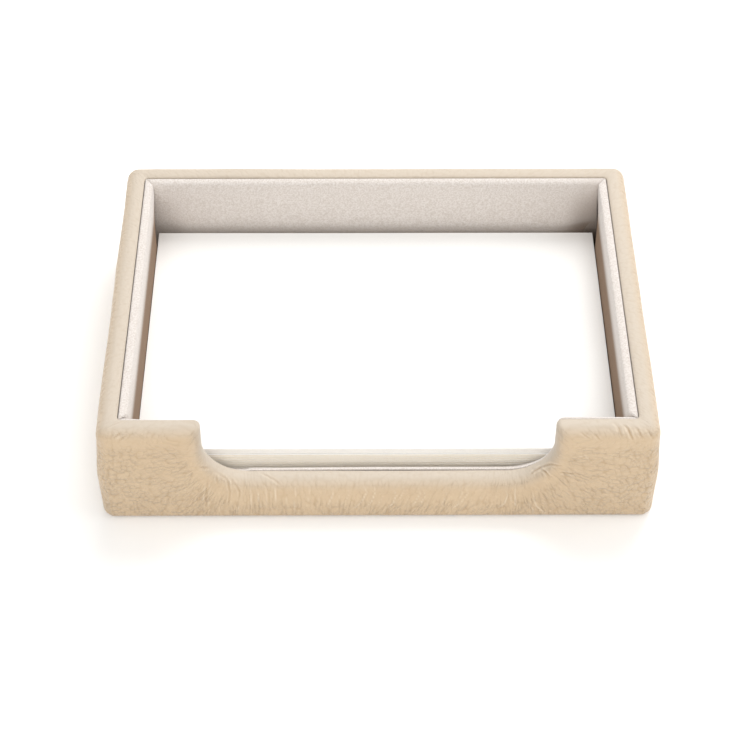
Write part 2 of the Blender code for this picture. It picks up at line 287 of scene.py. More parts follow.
def pebble_pattern(tree, hide):
    """Distances from the nearest pebble's middle and the nearest fine wrinkle, as shares of their sizes."""
    unrest = add_node(tree, NOISE, {"Vector": hide, "Scale": 1 / WANDER_LENGTH, "Detail": 1.0})
    middle = {0: unrest.outputs["Color"], 1: (0.5, 0.5, 0.5)}
    shift = add_node(tree, VECTOR_MATH, middle, operation="SUBTRACT")
    strayed = add_node(tree, VECTOR_MATH, {0: shift, 1: (WANDER,) * 3, 2: hide}, operation="MULTIPLY_ADD")
    place = add_node(tree, VECTOR_MATH, {0: strayed, 1: (NARROWNESS, 1, 1)}, operation="MULTIPLY")
    found = []
    for size, feature in ((PEBBLE, "F1"), (FINE_CELL, "DISTANCE_TO_EDGE")):
        inputs = {"Vector": place, "Scale": 1 / size, "Randomness": CELL_DISORDER}
        cells = add_node(tree, CELLS, inputs, feature=feature, voronoi_dimensions="2D")
        found.append(cells.outputs["Distance"])
    return found


print("pebbles:", round(PEBBLE / MM, 2), "mm")

# %% The height of the grain
GRAIN_DEPTH = 0.5 * MM  # of the shading alone: the mesh carries the folds and waves
PORE = 0.25 * MM
WEAR = 4 * MM  # patches of worn grain
DRAWN_WRINKLE = (1 / (0.9 * MM), 1 / (4 * MM), 0)  # how often wrinkles come along the rim, and across it


def grain_strength(tree, hide, rim, drawn_out):
    """How strong the pebbles are: less in worn patches, along the rim and where the hide is drawn out."""
    patches = add_node(tree, NOISE, {"Vector": hide, "Scale": 1 / WEAR, "Detail": 2.0})
    wear = {"Value": patches, "From Min": 0.3, "From Max": 0.6, "To Min": 0.45}
    worn = add_node(tree, RANGE, wear, interpolation_type=EASED)
    partly = add_node(tree, MATH, {0: drawn_out, 1: 0.6}, operation="MULTIPLY")
    calm = add_node(tree, MATH, {0: rim, 1: partly}, operation="MAXIMUM")
    smoothing = {"Value": calm, "From Max": 0.9, "To Min": 1.0, "To Max": 0.15}
    left = add_node(tree, RANGE, smoothing, interpolation_type=EASED)
    return add_node(tree, MATH, {0: worn, 1: left}, operation="MULTIPLY")


def grain_height(tree, hide, rim, drawn_out, pebbles, wrinkles, strength):
    """The grain's height: domed pebbles with fine wrinkles and pores, and drawn wrinkles along the rim."""
    dome = add_node(tree, MATH, {0: pebbles, 1: strength}, operation="MULTIPLY")
    pores = add_node(tree, NOISE, {"Vector": hide, "Scale": 1 / PORE, "Detail": 2.0})
    faint = add_node(tree, MATH, {0: pores, 1: 0.08}, operation="MULTIPLY")
    fine = add_node(tree, MATH, {0: wrinkles, 1: 0.05, 2: faint}, operation="MULTIPLY_ADD")
    calmed = add_node(tree, RANGE, {"Value": rim, "To Min": 1.0, "To Max": 0.4}, interpolation_type=EASED)
    rough = add_node(tree, MATH, {0: fine, 1: calmed}, operation="MULTIPLY")
    slight = add_node(tree, MATH, {0: rim, 1: 0.4}, operation="MULTIPLY")
    wrinkled = add_node(tree, MATH, {0: slight, 1: drawn_out}, operation="MAXIMUM")
    across = add_node(tree, VECTOR_MATH, {0: hide, 1: DRAWN_WRINKLE}, operation="MULTIPLY")
    drawn = add_node(tree, NOISE, {"Vector": across, "Scale": 1.0, "Detail": 1.0})
    across_rim = add_node(tree, MATH, {0: drawn, 1: wrinkled}, operation="MULTIPLY")
    grain = add_node(tree, MATH, {0: dome, 1: rough}, operation="ADD")
    return add_node(tree, MATH, {0: across_rim, 1: 0.5, 2: grain}, operation="MULTIPLY_ADD")


print("grain:", round(GRAIN_DEPTH / MM, 2), "mm deep")

# %% Pebbled leather
CLOUD = 18 * MM  # clouds in the dye
# The rim's colour is a paler tone painted on for the sheen that light from behind lays on it, and the furrows'
# colour is painted shade.
BEIGE, LIGHT_BEIGE, RIM_SHEEN_PAINTED, RAISED, FURROW_SHADE = "#C6AB88", "#D1B896", "#BFB2A1", "#E6D5BD", "#A08058"


def leather_colour(tree, hide, rim, reach, strength):
    """Clouded beige with painted sheen along the rim, paler on raised creases, and painted shade in furrows
    and pressed creases.
    """
    clouds = add_node(tree, NOISE, {"Vector": hide, "Scale": 1 / CLOUD, "Detail": 3.0})
    cloudy = add_node(tree, MIX, {0: clouds, 1: linear(BEIGE), 2: linear(LIGHT_BEIGE)})
    # Painted sheen: the rim's colour is blended towards a paler tone.
    on_rim = add_node(tree, MATH, {0: rim, 1: 0.95}, operation="MULTIPLY")
    sheened_rim = add_node(tree, MIX, {0: on_rim, 1: cloudy, 2: linear(RIM_SHEEN_PAINTED)})
    fold = add_node(tree, ATTRIBUTE, attribute_name="fold").outputs["Fac"]
    ridge = add_node(tree, MATH, {0: fold, 1: 0.0}, operation="MAXIMUM")
    raised = add_node(tree, MIX, {0: ridge, 1: sheened_rim, 2: linear(RAISED)})
    turned = add_node(tree, MATH, {0: fold, 1: -1.0}, operation="MULTIPLY")
    pressed = add_node(tree, MATH, {0: turned, 1: 0.0}, operation="MAXIMUM")
    # Painted shade: furrows between pebbles, and pressed creases, are given a darker colour where real shade
    # would fall.
    edge = {"Value": reach, "From Min": 0.5, "From Max": 0.85, "To Max": 0.42}
    border = add_node(tree, RANGE, edge, interpolation_type=EASED)
    furrow_shade = add_node(tree, MATH, {0: border, 1: strength}, operation="MULTIPLY")
    painted_shade_share = add_node(tree, MATH, {0: furrow_shade, 1: pressed}, operation="MAXIMUM")
    return add_node(tree, MIX, {0: painted_shade_share, 1: raised, 2: linear(FURROW_SHADE)})


def pebbled_leather():
    material, tree, shader = new_material("pebbled_cowhide")
    hide = add_node(tree, "ShaderNodeUVMap", uv_map="hide")
    rim = add_node(tree, ATTRIBUTE, attribute_name="rim").outputs["Fac"]
    drawn_out = add_node(tree, ATTRIBUTE, attribute_name="drawn").outputs["Fac"]
    reach, borders = pebble_pattern(tree, hide)
    domes = {"Value": reach, "From Min": 0.1, "From Max": 0.9, "To Min": 1.0, "To Max": 0.0}
    pebbles = add_node(tree, RANGE, domes, interpolation_type=EASED)
    wrinkles = add_node(tree, RANGE, {"Value": borders, "From Max": 0.35}, interpolation_type=EASED)
    strength = grain_strength(tree, hide, rim, drawn_out)
    height = grain_height(tree, hide, rim, drawn_out, pebbles, wrinkles, strength)
    bump = add_node(tree, BUMP, {"Height": height, "Distance": GRAIN_DEPTH, "Strength": 1.0})
    dull_to_satin = {"Value": pebbles, "To Min": 0.55, "To Max": 0.4}
    polish = add_node(tree, RANGE, dull_to_satin, interpolation_type=EASED)
    matt = add_node(tree, MATH, {0: rim, 1: 0.25, 2: polish}, operation="MULTIPLY_ADD")
    colour = leather_colour(tree, hide, rim, reach, strength)
    set_inputs(tree, shader, {"Base Color": colour, "Roughness": matt, "Normal": bump})
    set_inputs(tree, shader, {"Specular IOR Level": 0.9, "Sheen Weight": 0.2, "Sheen Roughness": 0.5})
    return material


PEBBLED_LEATHER = pebbled_leather()
print("nodes in the leather:", len(PEBBLED_LEATHER.node_tree.nodes))

# %% [markdown]
# Suede is leather buffed on its flesh side. Its nap of short fibres scatters light, so it has no gloss, a
# pale sheen at grazing angles, and small blotches where the fibres lie another way. Towards the foot of the
# back and side panels, and at the back panel's right end, shade is painted into its colour as brown, and
# there it has no sheen.

# %% Suede
NAP_BLOTCH = 0.55 * MM  # patches where the nap lies one way
NAP_FIBRE = 0.25 * MM  # real fibres are finer: these are drawn as coarse as the picture can show


def suede():
    material, tree, shader = new_material("buffed_suede")
    place = add_node(tree, "ShaderNodeTexCoord").outputs["Object"]
    blotch = add_node(tree, NOISE, {"Vector": place, "Scale": 1 / NAP_BLOTCH, "Detail": 2.0})
    fibre = add_node(tree, NOISE, {"Vector": place, "Scale": 1 / NAP_FIBRE, "Detail": 3.0})
    lesser = add_node(tree, MATH, {0: fibre, 1: 0.4}, operation="MULTIPLY")
    nap = add_node(tree, MATH, {0: blotch, 1: 0.6, 2: lesser}, operation="MULTIPLY_ADD")
    blotches = {"Value": nap, "From Min": 0.35, "From Max": 0.65}
    lying = add_node(tree, RANGE, blotches, interpolation_type=EASED)
    brushed = add_node(tree, MIX, {0: lying, 1: linear("#CAC0B7"), 2: linear("#DFD8D2")})
    # Painted shade: the foot share turns the suede brown towards the panels' foot and at the back panel's
    # right end, and takes its sheen away there.
    foot = add_node(tree, ATTRIBUTE, attribute_name="foot").outputs["Fac"]
    mottled_shade = add_node(tree, MATH, {0: nap, 1: 0.5, 2: foot}, operation="MULTIPLY_ADD")
    shade_browning = {"Value": mottled_shade, "From Min": 0.3, "From Max": 1.1, "To Max": 0.9}
    brown = add_node(tree, RANGE, shade_browning, interpolation_type=EASED)
    colour = add_node(tree, MIX, {0: brown, 1: brushed, 2: linear("#80664F")})
    bump = add_node(tree, BUMP, {"Height": nap, "Distance": 0.25 * MM, "Strength": 0.7})
    sheen = {"Value": brown, "From Max": 0.9, "To Min": 0.35, "To Max": 0.0}
    pale_sheen = add_node(tree, RANGE, sheen, interpolation_type=EASED)
    set_inputs(tree, shader, {"Base Color": colour, "Normal": bump, "Sheen Weight": pale_sheen})
    set_inputs(tree, shader, {"Roughness": 0.95, "Specular IOR Level": 0.1, "Sheen Roughness": 0.6})
    return material


SUEDE = suede()
print("suede ready")

# %% [markdown]
# The memo sheets are uncoated paper: bright white, matt, with a faint cloud where fibres are denser. Their
# cut edges are a little creamier, and the lower bundle's are painted warmer still for the light that the
# leather reflects onto them. Inside the tray, out of sight unless it is taken apart, are brown fibreboard with
# coarse flecks, even grey card and pale foam with open cells.

# %% Paper, board, card and foam
def mottled(name, light, dark, grain, roughness, depth):
    """A dry, matt material: two close tones in a noise pattern, with a slight relief of the same pattern."""
    material, tree, shader = new_material(name)
    place = add_node(tree, "ShaderNodeTexCoord").outputs["Object"]
    specks = add_node(tree, NOISE, {"Vector": place, "Scale": 1 / grain, "Detail": 4.0})
    colour = add_node(tree, MIX, {0: specks, 1: linear(dark), 2: linear(light)})
    bump = add_node(tree, BUMP, {"Height": specks, "Distance": depth, "Strength": 0.5})
    set_inputs(tree, shader, {"Base Color": colour, "Normal": bump})
    set_inputs(tree, shader, {"Roughness": roughness, "Specular IOR Level": 0.25})
    return material


PAPER = mottled("uncoated_paper", "#F9F8F5", "#F5F3F0", 0.8 * MM, 0.8, 0.01 * MM)
CUT_WHITE = mottled("cut_white_paper", "#FDFBF7", "#F8F4EC", 0.6 * MM, 0.9, 0.02 * MM)
# Painted reflection: the lower bundle's cut edges are warmer for the light that the leather reflects onto
# them.
CUT_EDGE_PAINTED_REFLECTION = mottled("cut_paper_painted_reflection", "#FDF6E9", "#F6ECD9", 0.6 * MM, 0.9, 0.02 * MM)
BOARD = mottled("fibreboard", "#A58D70", "#7C6850", 0.7 * MM, 0.85, 0.08 * MM)
CARD = mottled("grey_card", "#C9C6BF", "#AEAAA2", 0.5 * MM, 0.85, 0.04 * MM)
FOAM = mottled("open_cell_foam", "#F1EDE2", "#D9D3C4", 0.4 * MM, 0.95, 0.2 * MM)
print("plain materials:", [m.name for m in (PAPER, BOARD, CARD, FOAM)])

# %% [markdown]
# ## Places along the walls
# Leather, foam and suede all follow the walls, each at its own depth. So the tray's outline is cut into
# places, and each turns a depth into the wall and a drop below the top edge into a point. It also knows
# where that point lies on the hide when the leather is rolled out flat, for the grain and the creases. Near
# the notch a line from the top edge leans outwards on its way to the foot, as pulled leather does.

# %% Places on corners and straight walls
class Corner:
    """A place on a rounded corner of the tray, at an angle as seen from above and a way along the foot."""

    def __init__(self, side, end, angle, along=0.0):
        self.side, self.end, self.angle, self.along = side, end, angle, along

    def plan(self, depth):
        radius = np.maximum(CORNER_RADIUS - np.maximum(depth, 0), WELL_CORNER)
        x = self.side * (HALF_LENGTH - depth - radius) + radius * cos(self.angle)
        y = self.end * (HALF_WIDTH - depth - radius) + radius * sin(self.angle)
        return x, y

    def points(self, section):
        """Points of a section: rows of depth, drop from the top, height of the foot and share of the way."""
        depth, drop, height, share = section.T
        x, y = self.plan(depth)
        return np.stack([x, y, (1 - share) * (WALL_HEIGHT - drop) + share * height], axis=1)

    def flat(self, section, rolled):
        """The same points on the flat hide. Rolled is the way past the face's top, negative past its foot."""
        share = section[:, 3]
        high = (1 - share) * (WALL_HEIGHT - OUTER_ROUND) + share * FACE_FOOT + rolled
        return np.stack([0 * high + self.along, high], axis=1)


MITRE_GAP = 0.06 * MM  # between two lining panels that meet in a corner of the well


class WallEnd(Corner):
    """The end of a straight wall, mitred at the well's corner unless it is cut off at a set inset."""

    def __init__(self, across, outwards, towards, inset=None):
        self.across, self.outwards, self.towards, self.inset = across, outwards, towards, inset

    def plan(self, depth):
        far, long = (HALF_WIDTH, HALF_LENGTH) if self.across else (HALF_LENGTH, HALF_WIDTH)
        inset = depth + MITRE_GAP if self.inset is None else self.inset + 0 * depth
        away, along = self.outwards * (far - depth), self.towards * (long - inset)
        return (along, away) if self.across else (away, along)


# %% A place along the notch
LIP_END = NOTCH_WIDTH / 2 - NOTCH_RADIUS


class Notch:
    """A place on the front wall's top line: on the lip, on the notch's corner or on its shoulder."""

    def __init__(self, side, part, value):
        self.side, self.part, self.value, self.foot_x = side, part, value, 0.0

    def top(self, drop):
        """Where the top line is, at a drop below the leather's, as x and z."""
        if self.part == "lip":
            return self.side * self.value * LIP_END + 0 * drop, NOTCH_LIP - drop
        if self.part == "corner":
            radius = NOTCH_RADIUS + drop
            x, z = LIP_END + radius * cos(self.value), NOTCH_LIP + NOTCH_RADIUS + radius * sin(self.value)
        else:
            radius = SHOULDER_RADIUS + 0.3 * drop
            x = NOTCH_WIDTH / 2 + drop + radius * (1 + cos(self.value))
            z = WALL_HEIGHT - drop - radius * (1 - sin(self.value))
        return self.side * x, z

    def points(self, section):
        depth, drop, height, share = section.T
        x, z = self.top(drop)
        x = (1 - share) * x + share * self.foot_x
        return np.stack([x, depth - HALF_WIDTH, (1 - share) * z + share * height], axis=1)

    def flat(self, section, rolled):
        share = section[:, 3]
        x, z = self.top(OUTER_ROUND + 0 * share)
        turn = {"lip": -pi / 2, "corner": self.value, "shoulder": self.value + pi}[self.part]
        past_top = np.maximum(rolled, 0)
        x = (1 - share) * x + share * self.foot_x - self.side * cos(turn) * past_top
        z = (1 - share) * z + share * FACE_FOOT - sin(turn) * past_top + np.minimum(rolled, 0)
        return np.stack([x, z], axis=1)


print("lip:", round(2 * LIP_END / MM), "mm between the notch's corners")


# %% Places from shoulder to shoulder
LEATHER_NOTCH = (1, 60, 8)  # steps over half the lip, over the notch's corner and over its shoulder


def half_notch(side, lip_steps, corner_steps, shoulder_steps):
    """Places from the notch's middle to one shoulder, with their feet spread evenly along the wall's foot."""
    lip = np.arange(lip_steps + 1) / lip_steps
    corner = -pi / 2 * (1 - np.arange(1, corner_steps + 1) / corner_steps)
    shoulder = pi - pi / 2 * np.arange(shoulder_steps + 1) / shoulder_steps
    parts = {"lip": lip, "corner": corner, "shoulder": shoulder}
    places = [Notch(side, part, value) for part, values in parts.items() for value in values.tolist()]
    tops = [place.top(0.0) for place in places]
    travelled = [0.0]
    for (x, z), (next_x, next_z) in zip(tops[lip_steps:], tops[lip_steps + 1 :]):
        travelled.append(travelled[-1] + hypot(next_x - x, next_z - z))
    reach = abs(tops[-1][0]) + NOTCH_FAN - LIP_END
    for number, place in enumerate(places):
        if number <= lip_steps:
            place.foot_x = tops[number][0]
        else:
            place.foot_x = side * (LIP_END + reach * travelled[number - lip_steps] / travelled[-1])
    return places


def notch_places(lip_steps, corner_steps, shoulder_steps):
    """Places from the left shoulder across the notch to the right one."""
    left, right = (half_notch(side, lip_steps, corner_steps, shoulder_steps) for side in (-1, 1))
    return left[:0:-1] + right


def filled(rows, step):
    """Rows of points, with more rows between two that lie further apart than a step."""
    made = []
    for row, after in zip(rows, rows[1:]):
        parts = max(1, ceil(np.linalg.norm((after - row)[:, :3], axis=1).max() / step))
        made += [row + (after - row) * part / parts for part in range(parts)]
    return np.array(made + [rows[-1]])


print("the leather's places along the notch:", len(notch_places(*LEATHER_NOTCH)))

# %% [markdown]
# ## Leather cover
# On the real tray this is one piece of hide, glued over foam. Its section is drawn from the well over the
# roll, down the bulging face, round the foot and in under the base. That section is swept round the tray at
# every place, as a grid fine enough to hold creases as real relief.

# %% The section of the leather
SWELL_END_SHARE = 0.55


def ease(share):
    """A share from 0 to 1 that starts and ends gently, also for values beyond."""
    share = np.clip(share, 0, 1)
    return share * share * (3 - 2 * share)


def roll_section(under, steps):
    """Rows over the rounded top edge, from the well outwards, at a depth under the leather's surface."""
    angle = pi * np.arange(steps + 1) / steps
    inside = angle < pi / 2
    reach = np.where(inside, RIM - CREST_DEPTH, CREST_DEPTH) - under
    rise = np.where(inside, INNER_ROUND, OUTER_ROUND)
    depth = CREST_DEPTH + reach * np.cos(angle)
    drop = rise - (rise - under) * np.sin(angle)
    return np.stack([depth, drop, 0 * angle, 0 * angle], axis=1)


def face_section(under, steps):
    """Rows down the outer face, which swells with the padding under it."""
    share = np.arange(1, steps + 1) / steps
    depth = under - SWELL * ease(share / SWELL_END_SHARE)
    return np.stack([depth, 0 * share + OUTER_ROUND, 0 * share + FACE_FOOT, share], axis=1)


def foot_section(steps):
    """Rows round the foot and in under the base."""
    angle = pi / 2 * np.arange(1, steps + 1) / steps
    depth = FOOT_RADIUS * (1 - np.cos(angle)) - SWELL
    height = FACE_FOOT - FOOT_RADIUS * np.sin(angle)
    rounded = np.stack([depth, 0 * angle, height, 0 * angle + 1], axis=1)
    under = np.linspace(depth[-1], TURN_UNDER, steps + 1)[1:]
    flat = np.stack([under, 0 * under, 0 * under + LEATHER_LOW.z, 0 * under + 1], axis=1)
    return np.concatenate([rounded, flat])


WELL_ROWS, ROLL_ROWS, FACE_ROWS, FOOT_ROWS = 4, 30, 54, 5
down = np.linspace(TURN_IN, INNER_ROUND, WELL_ROWS + 1)[:-1]
well_side = np.stack([0 * down + RIM, down, 0 * down, 0 * down], axis=1)
LEATHER_SECTION = np.concatenate(
    [well_side, roll_section(0, ROLL_ROWS), face_section(0, FACE_ROWS), foot_section(FOOT_ROWS)]
)
FACE_TOP_ROW = WELL_ROWS + ROLL_ROWS
FACE_FOOT_ROW = FACE_TOP_ROW + FACE_ROWS


def rolled_lengths(section):
    """How far each row lies past the face's top, or past its foot as a negative length."""
    height = np.where(section[:, 3] < 1, WALL_HEIGHT - section[:, 1], section[:, 2])
    steps = np.hypot(np.diff(section[:, 0]), np.diff(height))
    way = np.concatenate([[0], np.cumsum(steps)])
    row = np.arange(len(section))
    past_top = np.where(row < FACE_TOP_ROW, way[FACE_TOP_ROW] - way, 0)
    return past_top - np.where(row > FACE_FOOT_ROW, way - way[FACE_FOOT_ROW], 0)


ROLLED = rolled_lengths(LEATHER_SECTION)
print("leather in a section:", len(LEATHER_SECTION), "rows,", round(ROLLED[0] / MM, 1), "mm over the roll")

# %% The leather's smooth surface, as a grid of points
FRONT_STEP = 0.49 * MM
SIDE_STEP = 1.5 * MM
CORNER_STEPS = 9
END_TUCK = 0.7 * MM
TUCKED_WITHIN, TUCK_FADE = 2.3 * MM, 1.2 * MM  # depths: the boards further in keep their place
STRAIGHT_LONG, STRAIGHT_WIDE = 2 * (HALF_LENGTH - CORNER_RADIUS), 2 * (HALF_WIDTH - CORNER_RADIUS)
QUARTER = pi / 2 * CORNER_RADIUS
AROUND = 2 * STRAIGHT_LONG + 2 * STRAIGHT_WIDE + 4 * QUARTER


def hide_row(place):
    """A row of the grid: the points on the tray, and beside them their places on the flat hide."""
    return np.concatenate([place.points(LEATHER_SECTION), place.flat(LEATHER_SECTION, ROLLED)], axis=1)


def corner_rows(number, along):
    side, end = ((1, -1), (1, 1), (-1, 1), (-1, -1))[number]
    shares = [step / CORNER_STEPS for step in range(CORNER_STEPS + 1)]
    return [hide_row(Corner(side, end, pi / 2 * (number - 1 + s), along + s * QUARTER)) for s in shares]


def around_the_walls():
    """The grid, from the front right corner round the back: points, and their places on the flat hide."""
    along, sides = STRAIGHT_LONG / 2, []
    for number, straight in enumerate((STRAIGHT_WIDE, STRAIGHT_LONG)):
        sides += corner_rows(number, along)
        along += QUARTER + straight
    sides += corner_rows(2, along)
    left = corner_rows(3, -STRAIGHT_LONG / 2 - QUARTER)
    start = sides[-1].copy()
    start[:, 3] -= AROUND
    front = [left[-1]] + [hide_row(place) for place in notch_places(*LEATHER_NOTCH)] + [sides[0]]
    first, second = filled(sides, SIDE_STEP), filled([start] + left, SIDE_STEP)
    grid = np.concatenate([first[:-1], second[:-1], filled(front, FRONT_STEP)[:-1]])
    return grid[:, :, :3], grid[:, :, 3:]


def grid_normals(points):
    """Outward normals of a grid that is closed round the tray."""
    around = np.roll(points, -1, axis=0) - np.roll(points, 1, axis=0)
    normals = np.cross(around, np.gradient(points, axis=1))
    normals /= np.linalg.norm(normals, axis=2, keepdims=True)
    outwards = (normals * points)[:, FACE_TOP_ROW, :2].sum()
    return normals * np.sign(outwards)


def tucked(points):
    """The same points, with the faces of the two short walls leaning in towards their foot."""
    depth = HALF_LENGTH - np.abs(points[..., 0])
    low = ease((WALL_HEIGHT - OUTER_ROUND - points[..., 2]) / (WALL_HEIGHT - OUTER_ROUND))
    tuck = END_TUCK * low * ease((TUCKED_WITHIN - depth) / TUCK_FADE)
    return points - np.stack([np.sign(points[..., 0]) * tuck, 0 * tuck, 0 * tuck], axis=-1)


BASE, FLAT = around_the_walls()
BASE = tucked(BASE)
NORMALS = grid_normals(BASE)
print("leather grid:", BASE.shape[:2])

# %% [markdown]
# The hide is stretched round the notch's corners, and its grain with it: pebbles are drawn out towards the
# corner and along the lip they stand upright. A table turns a true distance from the corner's middle into one
# on the relaxed hide, on which the grain is even.

# %% Stretch the grain round the notch
PULLED_WITHIN, RELAXED_BEYOND = 22 * MM, 46 * MM
PULL = 0.42  # width of a pulled pebble as a share of its length
LIP_LEAN = 0.35
LEAN_MIDDLE = 19 * MM  # under the corner's middle, where leaning grain keeps its place
LEAN_FROM, LEAN_FADE = -25 * MM, 40 * MM  # the lip's grain leans from here on to the right
LIP_BEFORE, LIP_FADE = 16 * MM, 20 * MM  # before its end, where the lip's grain starts to turn the corner
END_FADE = 8 * MM  # towards the front wall's ends the hide is pulled less
CALM_HEIGHT, CALM_FADE = 32 * MM, 6 * MM  # above it, beside the notch, the hide isn't pulled
distances = np.geomspace(1 * MM, RELAXED_BEYOND, 200)
squeeze = PULL + (1 - PULL) * ease((distances - PULLED_WITHIN) / (RELAXED_BEYOND - PULLED_WITHIN))
steps = np.diff(np.log(distances)) * (squeeze[1:] + squeeze[:-1]) / 2
RELAXED = np.exp(np.log(RELAXED_BEYOND) - np.concatenate([np.cumsum(steps[::-1])[::-1], [0]]))
MIDDLE_HEIGHT = NOTCH_LIP + NOTCH_RADIUS


def relaxed_distance(distance):
    near = np.interp(distance, distances, RELAXED)
    return np.where(distance < RELAXED_BEYOND, near, distance)


def relaxed_hide(flat):
    """Places on the hide as it was before it was stretched round the notch."""
    x, high = flat[..., 0], flat[..., 1]
    side = np.sign(x)
    away_x, away_z = np.abs(x) - LIP_END, high - MIDDLE_HEIGHT
    distance = np.maximum(np.hypot(away_x, away_z), 1 * MM)
    factor = relaxed_distance(distance) / distance
    corner_x, corner_z = side * (LIP_END + away_x * factor), MIDDLE_HEIGHT + away_z * factor
    below = np.maximum(-away_z, 1 * MM)
    lean = LIP_LEAN * ease((x - LEAN_FROM) / LEAN_FADE) * (below - LEAN_MIDDLE)
    lip_x, lip_z = x + lean, MIDDLE_HEIGHT - relaxed_distance(below)
    on_lip = 1 - ease((np.abs(x) - LIP_END + LIP_BEFORE) / LIP_FADE)
    pulled_x = on_lip * lip_x + (1 - on_lip) * corner_x
    pulled_z = on_lip * lip_z + (1 - on_lip) * corner_z
    on_front = ease((HALF_LENGTH - np.abs(x)) / END_FADE)
    beside = ease((np.abs(x) - NOTCH_WIDTH / 2 - CALM_FADE) / CALM_FADE)
    share = on_front * (1 - beside * ease((high - CALM_HEIGHT) / CALM_FADE))
    return np.stack([x + share * (pulled_x - x), high + share * (pulled_z - high)], axis=-1)


HIDE = relaxed_hide(FLAT)
print("on the lip a pebble is", round(1 / PULL, 1), "times as tall as wide")

# %% [markdown]
# Creases are strokes on the flat hide: a valley with a raised lip on either side, fading at both ends. Those
# at the notch and at the front corners are set one by one, and finer ones round the notch follow a rule.

# %% Creases that are set one by one
CREASES = (  # points on the flat hide, width and depth, all in millimetres
    (((-51.3, 20.5), (-46.9, 16.1), (-46.4, 11.4), (-47.3, 5.1)), 0.5, 0.2),
    (((-46.7, 17.4), (-44.1, 13.4), (-43.3, 11.3), (-44.1, 5.6)), 0.5, 0.18),
    (((-52.8, 19), (-54, 10), (-54, 3.5)), 0.55, 0.18),
    (((-50.2, 17.9), (-50, 15)), 0.5, 0.2),
    (((-55.6, 22.9), (-51.3, 20.7)), 0.55, 0.2),
    (((-37.5, 18.4), (-32.3, 15.2), (-29.8, 13.1)), 0.5, 0.18),
    (((-38.7, 13.6), (-39, 5.6)), 0.5, 0.14),
    (((-34.4, 13.6), (-34.1, 5.5)), 0.5, 0.14),
    (((46.9, 18.8), (49.8, 20.2), (53.2, 22.5), (57.9, 23.6)), 0.5, 0.25),
    (((55.8, 20.1), (61.9, 20.9)), 0.5, 0.25),
    (((47.1, 17), (47.9, 18.5), (49.8, 20)), 0.5, 0.3),
    (((50, 19.7), (52, 19.3), (53.2, 18)), 0.5, 0.3),
    (((74.9, 41.3), (75.3, 35.1)), 0.5, 0.2),
    (((76.9, 40.5), (78.1, 34.7)), 0.5, 0.3),
    (((79.3, 39.6), (80.8, 35.5)), 0.5, 0.25),
    (((81.9, 38.9), (84.2, 35.2)), 0.5, 0.25),
    (((65.1, 37.9), (65.9, 35.5)), 0.5, 0.2),
    (((68.4, 37.5), (68.4, 34.7)), 0.5, 0.2),
    (((-81, 36), (-78.6, 38.3)), 0.45, 0.25),
    (((-79.6, 35), (-77, 37.6)), 0.45, 0.2),
    (((-84, 38.5), (-80.5, 43)), 0.5, 0.15),
)
print("creases:", len(CREASES))


# %% Fine folds round the notch
def pulled_folds(seed, around_corner, along_lip):
    """Fine folds from the notch's edge, the way the hide is pulled. A negative depth makes a ridge."""
    chance = np.random.default_rng(seed)
    middle_x, middle_z = LIP_END / MM, MIDDLE_HEIGHT / MM
    folds = []
    for side in (-1, 1):
        for turn in chance.uniform(0.02, 0.95, around_corner) * pi / 2:
            near, length = chance.uniform(16, 24), chance.uniform(5, 12)
            bends = turn + np.array([0, chance.normal(0, 0.03), chance.normal(0, 0.05)])
            reach = near + length * np.array([0, 0.5, 1])
            across, down = reach * np.cos(bends), reach * np.sin(bends)
            path = np.stack([side * (middle_x + across), middle_z - down], axis=1)
            folds.append((path, chance.uniform(0.45, 0.6), chance.uniform(-0.16, 0.1)))
    for x in np.linspace(-middle_x, middle_x, along_lip) + chance.normal(0, 0.7, along_lip):
        high, low = chance.uniform(12, 14.8), chance.uniform(2, 6.5)
        lean = (high - low) * (0.42 * float(ease((x + 30) / 20)) + chance.normal(0, 0.06))
        bend = np.array([-0.15, 0.1, -0.25, -1]) * lean + chance.normal(0, 0.12, 4)
        path = np.stack([x + bend, np.linspace(high, low, 4)], axis=1)
        folds.append((path, chance.uniform(0.32, 0.45), chance.uniform(-0.2, -0.05)))
    return folds


FINE_FOLDS = pulled_folds(seed=4, around_corner=24, along_lip=30)
print("fine folds:", len(FINE_FOLDS))

# %% The leather's relief
SLOW_WAVE = (30 * MM, 0.22 * MM)  # length and height of the padding's unevenness
QUICK_WAVE = (9 * MM, 0.07 * MM)
LIP_AWAY, LIP_HEIGHT = 1.7, 0.55  # a crease's raised lip, in widths from its middle and shares of its depth
FADE_ROWS = 8  # of the section, over which the relief fades at the roll and at the foot
FINENESS = 0.7  # of all creases, as a share of the widths and depths above
RIDGE, VALLEY = 0.14 * MM, 0.2 * MM  # height and depth of folds that take on a full change of colour
FAINT = 0.2  # share of it that lower folds lack, so that the lowest keep their colour


def waves(points, length, height):
    found = [noise.noise(Vector(point)) for point in (points.reshape(-1, 3) / length)]
    return height * np.array(found).reshape(points.shape[:2])


def add_crease(relief, path, width, depth):
    """Presses a stroke through points on the flat hide, in millimetres, into the relief."""
    path = np.array(path) * MM
    low, high = path.min(axis=0) - 4 * width, path.max(axis=0) + 4 * width
    near = np.nonzero(((FLAT > low) & (FLAT < high)).all(axis=2))
    spots = FLAT[near]
    nearest, at = np.full(len(spots), np.inf), np.zeros(len(spots))
    lengths = np.linalg.norm(np.diff(path, axis=0), axis=1)
    before = 0.0
    for start, end, length in zip(path, path[1:], lengths):
        share = np.clip(((spots - start) @ (end - start)) / length**2, 0, 1)
        distance = np.linalg.norm(spots - start - share[:, None] * (end - start), axis=1)
        closer = distance < nearest
        at = np.where(closer, (before + share * length) / lengths.sum(), at)
        nearest = np.where(closer, distance, nearest)
        before += length
    across = nearest / width
    profile = -np.exp(-(across**2)) + LIP_HEIGHT * np.exp(-((across - LIP_AWAY) ** 2))
    relief[near] += depth * np.sqrt(np.sin(pi * at)) * profile


